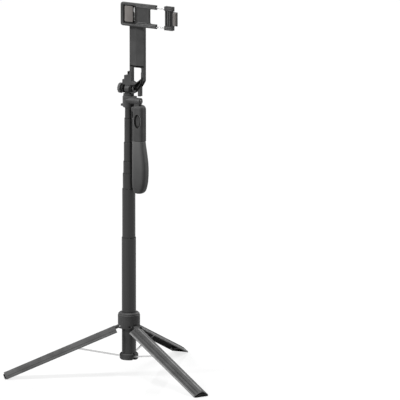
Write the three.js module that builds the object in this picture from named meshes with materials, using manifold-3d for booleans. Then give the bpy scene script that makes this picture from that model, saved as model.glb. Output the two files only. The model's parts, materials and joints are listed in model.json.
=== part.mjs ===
// Selfie stick that stands on its own folding tripod.
// Millimetres, +Z up. The origin is on the mast axis, at the underside of the
// column's foot. +X runs along the phone clamp towards its sliding jaw, and the
// clamp's face looks along -Y. The legs are spread and the mast is part-way out.

import * as THREE from 'three';
import { mergeVertices } from 'three/addons/utils/BufferGeometryUtils.js';
import Module from 'manifold-3d';

const wasm = await Module();
wasm.setup();

const { PI, sin, cos, atan2 } = Math;
const radians = THREE.MathUtils.degToRad;

// Clearances
const fit = 0.3;             // running gap between two pieces
const cutOverrun = 1;        // how far a cutter passes the face it opens

// Column, foot and telescoping mast
const columnRadius = 10.1;
const columnBottom = 4.7;
const columnTop = 174.4;
const tubeWall = 0.5;
const tubeLip = 0.35;
const tubeShown = [69.6, 22, 17, 27, 34.5];
const tubeLength = 162;
const neckShown = 15.5;
const footHeight = 9.2;
const footBevel = 1.4;
const footSpigot = 6.8;
const footFlare = 1.4;
const footFlareHeight = 4.2;

// Sliding hub and legs
const hubRadius = 15.7;
const hubHeight = 22.2;
const hubBottom = 45.5;
const hubBevel = 1.8;
const hubLipHeight = 3.2;
const hubLipStep = 0.7;
const hubTravel = 104;
const legCount = 3;
const firstLegAngle = radians(217.9);
const legSpread = radians(67.65);
const legHalfArc = radians(57.5);
const legLength = 175.7;
const legWall = 1.4;
const legGapBelowPivot = 7;
const legRib = 0.9;
const legFluteDepth = 0.55;
const legTaper = 10;
const kneeRadius = 13.2;
const kneeHeight = 3;
const kneeEye = 2.5;
const kneeWidth = 6;
const kneePinRadius = 1.1;
const kneePinLength = 12.4;

// Places round a leg's section, as shares of its half arc, and how far each
// stands out, as shares of the rib's height or of the flute's depth
const legArcShares = [-1, -0.82, -0.7, -0.5, -0.3, -0.16, -0.07, 0.07, 0.16, 0.3, 0.5, 0.7, 0.82, 1];
const legRiseShares = [0, 0, -1, -1, 0, 0, 1, 1, 0, 0, -1, -1, 0, 0];

// Steel struts between the legs and the foot
const strutThickness = 2;
const strutHalfWidth = 1.1;
const strutEye = 1.3;
const strutPinRadius = 0.6;
const strutEarWall = 1.2;
const strutEarLength = 8;
const strutFootHeight = 5;
const anchorPinLength = 4.6;

// Rubber ends of the legs
const tipLength = 14;
const tipProud = 2;
const tipThickness = 2.6;
const tipHalfArc = radians(42);

// Head block on the neck
const headHeight = 16.5;
const headRadius = 8.6;
const headSocketDepth = 12;
const headBevel = 1.2;
const headScrewRadius = 1.6;
const headScrewLength = 5.6;
const headScrewRise = 5.4;
const headTab = 2.6;
const headTabHeight = 3;
const headTabWidth = 6;

// Handle hinge at the end of the head block
const barrelRise = 10.6;
const barrelRadius = 4.9;
const barrelEnd = 14.2;
const handlePinRadius = 1.7;
const handlePinHead = 3;
const handlePinHeadHeight = 1.4;

// Turntable and tilt hinge
const panRadius = 7.6;
const panHeight = 2.4;
const panScrewRadius = 1.2;
const panScrewDepth = 7;
const panScrewHead = 1.9;
const panScrewHeadHeight = 1.3;
const tiltEye = 6.3;
const tiltGap = 0.7;
const lugThickness = 6.8;
const lugNeck = 6.6;
const cheekThickness = 4.6;
const cheekRecess = 1.2;
const tiltBoltRadius = 1.9;
const tiltBoltHead = 3.6;
const tiltBoltHeadHeight = 1.6;
const knobRadius = 7.3;
const knobThickness = 3.6;
const knobStandoff = 2.6;
const knobHub = 3.4;
const knobFlutes = 14;
const knobFluteRadius = 0.7;

// Arm that carries the clamp
const armLeft = 3.1;
const armWidth = 23.3;
const armDepth = 7.5;
const armLength = 110;
const armCorner = 9;
const armCrown = 1.3;
const armSkin = 1.7;
const armPocketEnd = 5;
const armPocketStart = 6.8;
const windowRise = 31.8;
const windowHeight = 15;
const windowSlope = 7.9;
const windowRail = 3.7;
const windowVee = 5.9;
const windowVeeRise = 2.7;
const windowCorner = 1.5;
const webRecess = 2.6;
const grooveHeight = 1.4;
const grooveDepth = 0.8;
const stepRises = [13, 19.2, 25.2];
const stepReaches = [8.3, 2.7];
const railBend = 6.4;
const railBendRise = 13.4;
const heelRise = 5;
const heelLeft = 17;
const heelWidth = 4;
const heelHalfDepth = 3;
const heelGap = 0.9;

// Clamp: plate, rear cover, fold-out lips, rods and sliding jaw
const clampHeight = 33.4;
const clampOverArm = 14.2;
const clampReach = 22.3;
const clampLength = 59.3;
const clampCorner = 4;
const clampPlateDepth = 3.6;
const clampCoverDepth = 1.5;
const clampCoverInset = 1.4;
const coverBoss = 8;
const clampBevel = 0.9;
const notchDepth = 11.5;
const notchProng = 6.3;
const notchCorner = 3;
const padWindowInset = 5.8;
const padWindowWidth = 18.1;
const padWindowRise = 5;
const padWindowHeight = 25;
const padCorner = 1.5;
const lipThickness = 1.6;
const lipSlot = 1.7;
const lipEar = 2.6;
const padThickness = 1.5;
const padCrown = 0.9;
const padInset = 1.3;
const lipHinge = 1.2;
const lipPinRadius = 0.6;
const panelRecess = 0.6;
const panelMargin = 5.5;
const rodRadius = 0.8;
const rodRises = [2.6, 29.4];
const rodInPlate = 21;
const rodInJaw = 8;
const jawClosing = 12.9;
const jawSpare = 0.5;
const jawLength = 12.4;
const jawCap = 5.8;
const jawCapProud = 1;
const jawRibWidth = 1.3;
const jawRibDepth = 1.3;
const jawRibShares = [0.16, 0.4, 0.64];
const jawLipReach = 7;
const jawLipHeight = 19.6;
const rollPinDrop = 10.2;
const rollPinRadius = 2.4;
const rollPinHead = 4.4;
const rollPinHeadHeight = 1.4;

// Handle and grip
const handleUnder = 3.2;
const handleWidth = 16.6;
const handleY = -4;
const handleDepth = 12;
const handleGap = 0.7;
const handleCorner = 7;
const handleRound = 4;
const curlReach = 1.8;
const handleLug = 8.2;
const handleBevel = 1.1;
const gripLength = 74.1;
const gripDepth = 15.8;
const gripBulge = 5.4;
const gripRound = 4.8;
const gripTongue = 8;
const gripToe = 5;

// Sections of the grip from its toe up: share of its height, of the toe's slant,
// of the swelling and of the depth
const gripShares = [
  [0, 1, -0.45, 0.78],
  [0.015, 0.66, -0.15, 0.9],
  [0.05, 0.3, 0.2, 0.97],
  [0.12, 0.08, 0.55, 1],
  [0.22, 0, 0.83, 1],
  [0.34, 0, 0.97, 1],
  [0.46, 0, 1, 1],
  [0.6, 0, 0.9, 1],
  [0.75, 0, 0.62, 0.98],
  [0.9, 0, 0.3, 0.94],
  [1, 0, 0.16, 0.9],
];

// Openings of the handle
const slotDrop = 2.8;
const slotHeight = 6.4;
const slotDepth = 3.2;

// Remote and what it holds
const remoteWidth = 11.4;
const remoteDepth = 7.4;
const remoteLength = 43;
const remoteHead = 6.4;
const remoteAside = 1;
const remoteSeat = 1.4;
const remoteBackWall = 1.6;
const remoteWall = 1.1;
const remoteCorner = 3.4;
const frontWall = 2;
const ovalWidth = 10.6;
const ovalHeight = 20.2;
const buttonDrop = 15.8;
const buttonWidth = 7.2;
const buttonHeight = 16;
const buttonTravel = 0.5;
const buttonRim = 0.7;
const boardThickness = 0.8;
const cellRadius = 4.2;
const cellThickness = 1.8;

// Materials
const material = (color, roughness, metalness = 0) =>
  new THREE.MeshStandardMaterial({ color, roughness, metalness });
const blackPlastic = () => material(0x454547, 0.62);
const darkPlastic = () => material(0x3a3a3c, 0.68);
const hubPlastic = () => material(0x434345, 0.55);
const tubeMetal = () => material(0x424244, 0.42, 0.55);
const steel = () => material(0xb9bbbd, 0.32, 0.9);
const rubber = () => material(0x4a4a4b, 0.85);
const greyPad = () => material(0x787472, 0.8);
const gripRubber = () => material(0x505153, 0.78);
const boardGreen = () => material(0x1d5136, 0.5);

// Solids: helpers that join, cut and shape them
const toSolid = (geometry) => {
  const bare = geometry.clone();
  bare.deleteAttribute('normal');
  bare.deleteAttribute('uv');
  const merged = mergeVertices(bare, fit / 1000);
  const index = merged.index
    ? merged.index.array
    : Uint32Array.from({ length: merged.attributes.position.count }, (_, i) => i);
  return new wasm.Manifold(new wasm.Mesh({
    numProp: 3,
    vertProperties: Float32Array.from(merged.attributes.position.array),
    triVerts: Uint32Array.from(index),
  }));
};

const toGeometry = (solid) => {
  const mesh = solid.getMesh();
  const geometry = new THREE.BufferGeometry();
  geometry.setAttribute('position', new THREE.BufferAttribute(Float32Array.from(mesh.vertProperties), 3));
  geometry.setIndex(new THREE.BufferAttribute(Uint32Array.from(mesh.triVerts), 1));
  geometry.computeVertexNormals();
  return geometry;
};

const join = (...solids) => solids.reduce((a, b) => a.add(b));
const cut = (solid, ...tools) => tools.reduce((a, b) => a.subtract(b), solid);

const part = (name, solid, look) => {
  const mesh = new THREE.Mesh(toGeometry(solid), look);
  mesh.name = name;
  return mesh;
};

// A box given by its low and high corners.
const block = ([x0, y0, z0], [x1, y1, z1]) =>
  toSolid(new THREE.BoxGeometry(x1 - x0, y1 - y0, z1 - z0)
    .translate((x0 + x1) / 2, (y0 + y1) / 2, (z0 + z1) / 2));

// A straight rod between two points.
const rod = (radius, from, to, sides = 24, endRadius = radius) => {
  const a = new THREE.Vector3(...from);
  const b = new THREE.Vector3(...to);
  const along = b.clone().sub(a);
  const geometry = new THREE.CylinderGeometry(endRadius, radius, along.length(), sides);
  const turn = new THREE.Quaternion()
    .setFromUnitVectors(new THREE.Vector3(0, 1, 0), along.clone().normalize());
  geometry.applyQuaternion(turn).translate(...a.add(b).divideScalar(2).toArray());
  return toSolid(geometry);
};

// A body of revolution about Z from a closed [radius, height] profile.
const turned = (profile, sides = 48) => {
  const points = [...profile, profile[0]].map(([r, z]) => new THREE.Vector2(r, z));
  return toSolid(new THREE.LatheGeometry(points, sides).rotateX(PI / 2));
};

// An outline in the XZ plane carried from one Y to another, with eased edges.
const slabXZ = (shape, fromY, toY, bevel = 0, curveSegments = 8, bevelSegments = 2) => {
  const geometry = new THREE.ExtrudeGeometry(shape, {
    depth: toY - fromY - 2 * bevel,
    bevelEnabled: bevel > 0,
    bevelSize: bevel,
    bevelThickness: bevel,
    bevelOffset: -bevel,
    bevelSegments,
    curveSegments,
  });
  return toSolid(geometry.rotateX(PI / 2).translate(0, toY - bevel, 0));
};

// An outline in the XY plane carried up Z.
const slabXY = (shape, fromZ, toZ, curveSegments = 8) =>
  toSolid(new THREE.ExtrudeGeometry(shape, { depth: toZ - fromZ, bevelEnabled: false, curveSegments })
    .translate(0, 0, fromZ));

// A body carried up Z through rounded sections, each [z, left, right, front, back].
const lofted = (sections, round, cornerSteps = 4) => {
  const ring = ([z, left, right, front, back]) => [
    [right - round, front + round], [right - round, back - round],
    [left + round, back - round], [left + round, front + round],
  ].flatMap(([x, y], quarter) => Array.from({ length: cornerSteps + 1 }, (_, i) => {
    const angle = (quarter - 1 + i / cornerSteps) * PI / 2;
    return [x + round * cos(angle), y + round * sin(angle), z];
  }));
  const rings = sections.map(ring);
  const count = rings[0].length;
  const last = (rings.length - 1) * count;
  const faces = [];
  for (let i = 0; i < count; i += 1) {
    const next = (i + 1) % count;
    for (let low = 0; low < last; low += count) {
      const high = low + count;
      faces.push(low + i, low + next, high + next, low + i, high + next, high + i);
    }
    if (i > 0 && next > 0) faces.push(0, next, i, last, last + i, last + next);
  }
  const geometry = new THREE.BufferGeometry();
  geometry.setAttribute('position', new THREE.Float32BufferAttribute(rings.flat(2), 3));
  geometry.setIndex(faces);
  return toSolid(geometry);
};

const roundedBox = (left, low, width, height, corner) => {
  const right = left + width;
  const high = low + height;
  const shape = new THREE.Shape();
  shape.moveTo(left + corner, low);
  shape.lineTo(right - corner, low);
  shape.quadraticCurveTo(right, low, right, low + corner);
  shape.lineTo(right, high - corner);
  shape.quadraticCurveTo(right, high, right - corner, high);
  shape.lineTo(left + corner, high);
  shape.quadraticCurveTo(left, high, left, high - corner);
  shape.lineTo(left, low + corner);
  shape.quadraticCurveTo(left, low, left + corner, low);
  return shape;
};

const oval = (x, z, width, height) => {
  const shape = new THREE.Shape();
  shape.absellipse(x, z, width / 2, height / 2, 0, 2 * PI, false, 0);
  return shape;
};

const outline = (points) => new THREE.Shape(points.map(([x, z]) => new THREE.Vector2(x, z)));

// Column and its foot
const columnBore = columnRadius - tubeWall;

const tube = (radius, low, high, bore = radius - tubeWall) => turned([
  [bore, low],
  [radius - tubeLip, low],
  [radius, low + tubeLip],
  [radius, high - tubeLip],
  [radius - tubeLip, high],
  [bore, high],
], 32);

const legInner = hubRadius - legWall - legRib;
const footRadius = legInner - fit;
const strutLine = columnRadius + fit + strutEye;

// The foot closes the column from below. Each strut's end drops into an open slot,
// which flares towards the mast where the strut swings in as it leaves.
const foot = () => {
  const body = turned([
    [0, 0],
    [footRadius - footBevel, 0],
    [footRadius, footBevel],
    [footRadius, footHeight - footBevel],
    [footRadius - footBevel, footHeight],
    [columnRadius + fit, footHeight],
    [columnRadius + fit, columnBottom + fit],
    [columnBore - fit, columnBottom + fit],
    [columnBore - fit, columnBottom + footSpigot],
    [0, columnBottom + footSpigot],
  ], 36);
  const strutWay = (reach, top) => block(
    [strutLine - strutEye - fit - reach, -strutThickness / 2 - fit, -cutOverrun],
    [footRadius + cutOverrun, strutThickness / 2 + fit, top],
  );
  const pinWay = (reach, top) => block(
    [strutLine - strutPinRadius - fit - reach, -anchorPinLength / 2 - fit, -cutOverrun],
    [strutLine + strutPinRadius + fit, anchorPinLength / 2 + fit, top],
  );
  const slot = join(
    strutWay(0, footHeight + cutOverrun),
    strutWay(footFlare, footFlareHeight),
    pinWay(0, strutFootHeight + strutPinRadius + fit),
    pinWay(footFlare, footFlareHeight),
  );
  return cut(body, ...legAngles.map((angle) => turnedBy(slot, angle)));
};

// A solid turned about the mast axis.
const turnedBy = (solid, angle) => toSolid(toGeometry(solid).rotateZ(angle));

const legAngles = Array.from({ length: legCount }, (_, i) => firstLegAngle + (2 * PI * i) / legCount);

const column = new THREE.Group();
column.add(part('outer_tube', tube(columnRadius, columnBottom + 2 * fit, columnTop), tubeMetal()));
column.add(part('column_foot', foot(), darkPlastic()));

// Hub that slides on the column
const kneeZ = hubBottom + kneeHeight;
const hubBore = columnRadius + fit;

const hub = () => {
  const top = hubBottom + hubHeight;
  const body = turned([
    [hubBore, hubBottom],
    [hubRadius, hubBottom],
    [hubRadius, top - hubLipHeight - hubLipStep],
    [hubRadius - hubLipStep, top - hubLipHeight],
    [hubRadius - hubLipStep, top - hubBevel],
    [hubRadius - hubLipStep - hubBevel, top],
    [hubBore, top],
  ], 36);
  const kneeWay = block(
    [columnRadius, -kneeWidth / 2 - fit, hubBottom - cutOverrun],
    [hubRadius + cutOverrun, kneeWidth / 2 + fit, kneeZ + kneeEye + fit],
  );
  const pinHole = rod(kneePinRadius + fit / 2,
    [kneeRadius, -hubRadius, kneeZ], [kneeRadius, hubRadius, kneeZ], 16);
  const cutter = join(kneeWay, pinHole);
  return cut(body, ...legAngles.map((angle) => turnedBy(cutter, angle)));
};

// Legs, their tips and struts
// A leg is drawn folded, hanging along -Z under its knee at the origin, with the
// mast axis at x = -kneeRadius, and is then swung outwards.
const shellTop = -legGapBelowPivot;
const shellBottom = -legLength;

const arcPoint = (radius, angle) => [radius * cos(angle) - kneeRadius, radius * sin(angle)];

const arcPoints = (radius, halfArc, steps) => Array.from({ length: steps + 1 },
  (_, i) => arcPoint(radius, halfArc * (1 - (2 * i) / steps)));

const legSection = () => {
  const outer = legArcShares.map((arcShare, i) => {
    const rise = legRiseShares[i] * (legRiseShares[i] > 0 ? legRib : legFluteDepth);
    return arcPoint(hubRadius - legRib + rise, arcShare * legHalfArc);
  });
  return outline([...outer, ...arcPoints(legInner, legHalfArc, 8)]);
};

// Distance of the strut pin from the knee, so that the strut meets the foot both
// with the legs spread and with them folded.
const strutPlan = () => {
  const offset = strutLine - kneeRadius;
  const reach = kneeZ + hubTravel - strutFootHeight;
  const p = kneeRadius + offset * cos(legSpread) - strutLine;
  const q = sin(legSpread);
  const r = kneeZ + offset * sin(legSpread) - strutFootHeight;
  const s = cos(legSpread);
  const along = (reach * reach - p * p - r * r) / (2 * p * q - 2 * r * s + 2 * reach);
  const length = reach - along;
  const pin = [kneeRadius + offset * cos(legSpread) + along * q,
    kneeZ + offset * sin(legSpread) - along * s];
  const lean = atan2(pin[0] - strutLine, pin[1] - strutFootHeight);
  return { offset, along, length, lean };
};
const strutAt = strutPlan();

const leg = () => {
  const earReach = strutThickness / 2 + fit + strutEarWall;
  const shell = slabXY(legSection(), shellBottom, shellTop);
  const eye = rod(kneeEye, [0, -kneeWidth / 2, 0], [0, kneeWidth / 2, 0], 20);
  const neck = block([-kneeEye, -kneeWidth / 2, shellTop - legTaper], [kneeEye - legRib, kneeWidth / 2, 0]);
  const ears = block(
    [strutAt.offset - strutEye, -earReach, -strutAt.along - strutEarLength / 2],
    [legInner + legRib - kneeRadius, earReach, -strutAt.along + strutEarLength / 2],
  );
  const strutWay = block(
    [strutAt.offset - strutEye - cutOverrun, -strutThickness / 2 - fit, shellBottom],
    [strutAt.offset + strutEye + fit, strutThickness / 2 + fit, shellTop],
  );
  const kneePinHole = rod(kneePinRadius + fit / 2, [0, -kneeWidth, 0], [0, kneeWidth, 0], 16);
  const strutPinHole = rod(strutPinRadius + fit / 2,
    [strutAt.offset, -kneeWidth, -strutAt.along], [strutAt.offset, kneeWidth, -strutAt.along], 12);
  return cut(join(shell, eye, neck, ears), strutWay, kneePinHole, strutPinHole);
};

const legTip = () => slabXY(
  outline([
    ...arcPoints(legInner - fit, tipHalfArc, 6).reverse(),
    ...arcPoints(legInner - fit - tipThickness, tipHalfArc, 6),
  ]), shellBottom - tipProud, shellBottom - tipProud + tipLength);

// A strut is drawn hanging from its leg pin at the origin. Its foot end carries
// the short pin that drops into the foot's open slot.
const strut = () => {
  const eyeAt = (z) => rod(strutEye, [0, -strutThickness / 2, z], [0, strutThickness / 2, z], 16);
  const bar = block([-strutHalfWidth, -strutThickness / 2, -strutAt.length],
    [strutHalfWidth, strutThickness / 2, 0]);
  const anchor = rod(strutPinRadius, [0, -anchorPinLength / 2, -strutAt.length],
    [0, anchorPinLength / 2, -strutAt.length], 12);
  const hole = rod(strutPinRadius + fit / 2, [0, -strutThickness, 0], [0, strutThickness, 0], 12);
  return cut(join(bar, eyeAt(0), eyeAt(-strutAt.length), anchor), hole);
};

const hubGroup = new THREE.Group();
hubGroup.add(part('hub_collar', hub(), hubPlastic()));
const legSolid = leg();
const tipSolid = legTip();
const strutSolid = strut();
const kneePin = rod(kneePinRadius, [0, -kneePinLength / 2, 0], [0, kneePinLength / 2, 0], 16);
const strutPinReach = strutThickness / 2 + fit + strutEarWall;
const strutPin = rod(strutPinRadius, [0, -strutPinReach, 0], [0, strutPinReach, 0], 10);

legAngles.forEach((angle, i) => {
  const around = new THREE.Group();
  around.rotation.z = angle;
  const swing = new THREE.Group();
  swing.position.set(kneeRadius, 0, kneeZ);
  swing.rotation.y = -legSpread;
  swing.add(part(`leg_${i + 1}`, legSolid, hubPlastic()));
  swing.add(part(`leg_tip_${i + 1}`, tipSolid, rubber()));
  swing.add(part(`knee_pin_${i + 1}`, kneePin, steel()));
  const strutJoint = new THREE.Group();
  strutJoint.position.set(strutAt.offset, 0, -strutAt.along);
  strutJoint.rotation.y = legSpread + strutAt.lean;
  strutJoint.add(part(`strut_${i + 1}`, strutSolid, steel()));
  strutJoint.add(part(`strut_pin_${i + 1}`, strutPin, steel()));
  swing.add(strutJoint);
  around.add(swing);
  hubGroup.add(around);
});

// Mast
const mast = new THREE.Group();
const tubeStep = tubeWall + fit;
const neckRadius = columnRadius - tubeStep * (tubeShown.length + 1);
let tubeTop = columnTop;
tubeShown.forEach((shown, i) => {
  tubeTop += shown;
  const radius = columnRadius - tubeStep * (i + 1);
  mast.add(part(`mast_tube_${i + 1}`, tube(radius, tubeTop - tubeLength, tubeTop), tubeMetal()));
});
const headBottom = tubeTop + neckShown;
mast.add(part('mast_neck',
  tube(neckRadius, headBottom - tubeLength, headBottom + headSocketDepth - fit), tubeMetal()));

// Head block on the neck
const headTop = headBottom + headHeight;
const barrelY = handleY;
const barrelHeight = headBottom + barrelRise;
const handleLeft = barrelEnd - handleUnder;
const handleTop = barrelHeight - barrelRadius - handleGap;
const headScrewHeight = headBottom + headScrewRise;

const headBlock = () => {
  const boss = turned([
    [0, headBottom],
    [headRadius - headBevel, headBottom],
    [headRadius, headBottom + headBevel],
    [headRadius, headTop - headBevel],
    [headRadius - headBevel, headTop],
    [0, headTop],
  ], 36);
  const barrel = rod(barrelRadius, [0, barrelY, barrelHeight], [barrelEnd, barrelY, barrelHeight], 28);
  const web = block([0, barrelY, handleTop + fit],
    [handleLeft - curlReach - fit, headRadius - headBevel, headTop - headBevel]);
  const tab = block([-headRadius - headTab, -headTabWidth / 2, headBottom + headBevel],
    [0, headTabWidth / 2, headBottom + headBevel + headTabHeight]);
  const socket = rod(neckRadius + fit, [0, 0, headBottom - cutOverrun],
    [0, 0, headBottom + headSocketDepth], 36);
  const handleBore = rod(handlePinRadius + fit / 2,
    [neckRadius + fit, barrelY, barrelHeight], [barrelEnd + cutOverrun, barrelY, barrelHeight], 18);
  const panBore = rod(panScrewRadius + fit / 2,
    [0, 0, headTop - panScrewDepth + headBevel], [0, 0, headTop + cutOverrun], 18);
  const screwBore = rod(headScrewRadius + fit / 2,
    [0, neckRadius, headScrewHeight],
    [0, headRadius + cutOverrun, headScrewHeight], 16);
  return cut(join(boss, barrel, web, tab), socket, handleBore, panBore, screwBore);
};

const headScrew = () => rod(headScrewRadius,
  [0, neckRadius + fit, headScrewHeight],
  [0, neckRadius + fit + headScrewLength - headScrewRadius, headScrewHeight], 16);

const head = new THREE.Group();
head.add(part('head_block', headBlock(), blackPlastic()));
head.add(part('neck_screw', headScrew(), steel()));

// Turntable and tilt hinge
const panBottom = headTop + fit;
const panTop = panBottom + panHeight;
const tiltHeight = panTop + tiltGap + tiltEye;
const lugEye = tiltEye - fit;

const panBase = () => {
  const disc = rod(panRadius, [0, 0, panBottom], [0, 0, panTop], 36);
  const lug = join(
    rod(lugEye, [-lugThickness / 2, 0, tiltHeight], [lugThickness / 2, 0, tiltHeight], 28),
    block([-lugThickness / 2, -lugNeck / 2, panBottom], [lugThickness / 2, lugNeck / 2, tiltHeight]),
  );
  const bolt = rod(tiltBoltRadius + fit / 2, [-lugThickness, 0, tiltHeight],
    [lugThickness, 0, tiltHeight], 20);
  const screw = rod(panScrewRadius + fit / 2, [0, 0, panBottom - cutOverrun], [0, 0, tiltHeight], 16);
  const screwHead = rod(panScrewHead + fit, [0, 0, panTop], [0, 0, tiltHeight], 16);
  return cut(join(disc, lug), bolt, screw, screwHead);
};

const panScrew = () => join(
  rod(panScrewRadius, [0, 0, headTop - panScrewDepth + headBevel + fit],
    [0, 0, panTop + panScrewHeadHeight / 2], 16),
  rod(panScrewHead, [0, 0, panTop + fit], [0, 0, panTop + fit + panScrewHeadHeight], 16),
);

const cheekInner = lugThickness / 2 + fit;
const cheekOuter = cheekInner + cheekThickness;
const knobBack = -cheekOuter - knobStandoff;

const tiltBolt = () => join(
  rod(tiltBoltRadius, [knobBack - knobThickness / 2, 0, tiltHeight],
    [cheekOuter + fit + tiltBoltHeadHeight / 2, 0, tiltHeight], 20),
  rod(tiltBoltHead, [cheekOuter + fit, 0, tiltHeight],
    [cheekOuter + fit + tiltBoltHeadHeight, 0, tiltHeight], 6),
);

const tiltKnob = () => {
  const wheel = rod(knobRadius, [knobBack - knobThickness, 0, tiltHeight], [knobBack, 0, tiltHeight], 28);
  const hubBoss = rod(knobHub, [knobBack - knobThickness, 0, tiltHeight],
    [-cheekOuter - fit, 0, tiltHeight], 24);
  const bore = rod(tiltBoltRadius + fit, [knobBack - knobThickness / 2 - fit, 0, tiltHeight],
    [0, 0, tiltHeight], 20);
  const flutes = Array.from({ length: knobFlutes }, (_, i) => {
    const angle = (2 * PI * i) / knobFlutes;
    const y = knobRadius * cos(angle);
    const z = tiltHeight + knobRadius * sin(angle);
    return rod(knobFluteRadius, [knobBack - knobThickness - cutOverrun, y, z], [knobBack + fit, y, z], 8);
  });
  return cut(join(wheel, hubBoss), bore, ...flutes);
};

// Arm that carries the clamp
const armRight = armLeft + armWidth;
const armFront = -armDepth / 2;
const armBack = armDepth / 2;
const armMiddle = armLeft + armWidth / 2;
const armTop = tiltHeight + armLength;
const armLow = tiltHeight - tiltEye;
const rollHeight = armTop - rollPinDrop;
const windowTop = tiltHeight + windowRise;
const windowBottom = windowTop - windowHeight;
const windowLeft = armLeft + windowRail;
const windowRight = armRight - windowRail;
const [stepOne, stepTwo, stepThree] = stepRises.map((rise) => tiltHeight + rise);

const armOutline = () => {
  const [wideStep, narrowStep] = stepReaches;
  const shape = new THREE.Shape();
  shape.moveTo(-cheekOuter, armLow);
  shape.lineTo(cheekOuter, armLow);
  shape.quadraticCurveTo(armRight - railBend, tiltHeight, armRight, tiltHeight + railBendRise);
  shape.lineTo(armRight, armTop - armCorner);
  shape.quadraticCurveTo(armRight, armTop, armRight - armCorner, armTop);
  shape.lineTo(armLeft + armCorner, armTop);
  shape.quadraticCurveTo(armLeft, armTop, armLeft, armTop - armCorner);
  shape.lineTo(armLeft, stepThree);
  shape.lineTo(armLeft - narrowStep, stepThree);
  shape.lineTo(armLeft - narrowStep, stepTwo);
  shape.lineTo(armLeft - wideStep, stepTwo);
  shape.lineTo(armLeft - wideStep, stepOne);
  shape.lineTo(-cheekOuter, stepOne);
  shape.lineTo(-cheekOuter, armLow);
  return shape;
};

// The window ends below in a slope that meets the left rail in a vee.
const armWindow = () => {
  const shape = new THREE.Shape();
  shape.moveTo(windowLeft, windowTop - windowCorner);
  shape.quadraticCurveTo(windowLeft, windowTop, windowLeft + windowCorner, windowTop);
  shape.lineTo(windowRight - windowCorner, windowTop);
  shape.quadraticCurveTo(windowRight, windowTop, windowRight, windowTop - windowCorner);
  shape.lineTo(windowRight, windowBottom);
  shape.lineTo(windowLeft + windowVee, windowBottom - windowSlope);
  shape.lineTo(windowLeft, windowBottom - windowSlope + windowVeeRise);
  return shape;
};

// Below the window the front is set back between the fork and the rail.
const webOutline = () => outline([
  [cheekInner + windowCorner, armLow + windowCorner],
  [armMiddle, tiltHeight + windowCorner / 2],
  [windowRight - windowCorner, tiltHeight + railBendRise - windowRail],
  [windowRight, windowBottom - windowCorner],
  [windowLeft + windowVee, windowBottom - windowSlope - windowCorner],
  [cheekInner + windowCorner, windowBottom - windowSlope - windowVeeRise],
]);

// The front is a low roof: two facets that fall away from a ridge.
const armCrownCutters = () => {
  const half = armWidth / 2;
  const facet = (side) => {
    const edge = armMiddle + side * (half + cutOverrun);
    const fall = armCrown * (half + cutOverrun) / half;
    const points = [
      [armMiddle, armFront],
      [edge, armFront + fall],
      [edge, armFront - cutOverrun],
      [armMiddle, armFront - cutOverrun],
    ];
    return slabXY(outline(side > 0 ? points : [...points].reverse()), stepThree + fit, armTop + cutOverrun);
  };
  return [facet(1), facet(-1)];
};

// The fork's underside is round about the tilt axis, so that it clears the turntable.
const forkRounding = () => cut(
  block([-cheekOuter - cutOverrun, armFront - cutOverrun, armLow - cutOverrun],
    [cheekOuter, armBack + cutOverrun, tiltHeight]),
  rod(tiltEye, [-cheekOuter - 2 * cutOverrun, 0, tiltHeight], [cheekOuter + cutOverrun, 0, tiltHeight], 24),
);

const arm = () => {
  const body = slabXZ(armOutline(), armFront, armBack, 0, 8);
  const heel = block([heelLeft, -heelHalfDepth, headTop + heelGap],
    [heelLeft + heelWidth, heelHalfDepth, tiltHeight + heelRise]);
  const lugWay = join(
    rod(lugEye + fit, [-cheekInner, 0, tiltHeight], [cheekInner, 0, tiltHeight], 28),
    block([-cheekInner, armFront - cutOverrun, armLow - cutOverrun],
      [cheekInner, armBack + cutOverrun, tiltHeight]),
  );
  const windowCut = slabXZ(armWindow(), armFront - cutOverrun, armBack + cutOverrun, 0, 4);
  const web = slabXZ(webOutline(), armFront - cutOverrun, armFront + webRecess);
  const cheek = block([-cheekOuter - cutOverrun, armFront - cutOverrun, armLow - cutOverrun],
    [-cheekInner, armFront + cheekRecess, tiltHeight + lugEye]);
  const groove = block([windowLeft, armFront - cutOverrun, windowTop + windowCorner / 2],
    [armRight + cutOverrun, armFront + armCrown + grooveDepth, windowTop + windowCorner / 2 + grooveHeight]);
  const pocket = block(
    [armLeft + armSkin, armFront + armCrown + armSkin, windowTop + armPocketStart],
    [armRight - armSkin, armBack + cutOverrun, rollHeight - rollPinHead - armPocketEnd],
  );
  const bolt = rod(tiltBoltRadius + fit / 2, [-cheekOuter - cutOverrun, 0, tiltHeight],
    [cheekOuter + cutOverrun, 0, tiltHeight], 20);
  const boltSeat = block([cheekOuter + fit / 2, armFront - cutOverrun, tiltHeight - tiltBoltHead - fit],
    [cheekOuter + tiltBoltHeadHeight + 2 * fit, armBack + cutOverrun, tiltHeight + tiltBoltHead + fit]);
  const pin = rod(rollPinRadius + fit / 2, [armMiddle, armFront - cutOverrun, rollHeight],
    [armMiddle, armBack + cutOverrun, rollHeight], 22);
  const pinSeat = rod(rollPinHead + fit, [armMiddle, armBack - rollPinHeadHeight - fit, rollHeight],
    [armMiddle, armBack + cutOverrun, rollHeight], 26);
  return cut(join(body, heel), ...armCrownCutters(), forkRounding(), lugWay, windowCut, web, cheek,
    groove, pocket, bolt, boltSeat, pin, pinSeat);
};

const tiltGroup = new THREE.Group();
tiltGroup.add(part('pan_base', panBase(), darkPlastic()));
tiltGroup.add(part('pan_screw', panScrew(), steel()));
tiltGroup.add(part('tilt_arm', arm(), blackPlastic()));
tiltGroup.add(part('tilt_bolt', tiltBolt(), steel()));
tiltGroup.add(part('tilt_knob', tiltKnob(), blackPlastic()));

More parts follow.
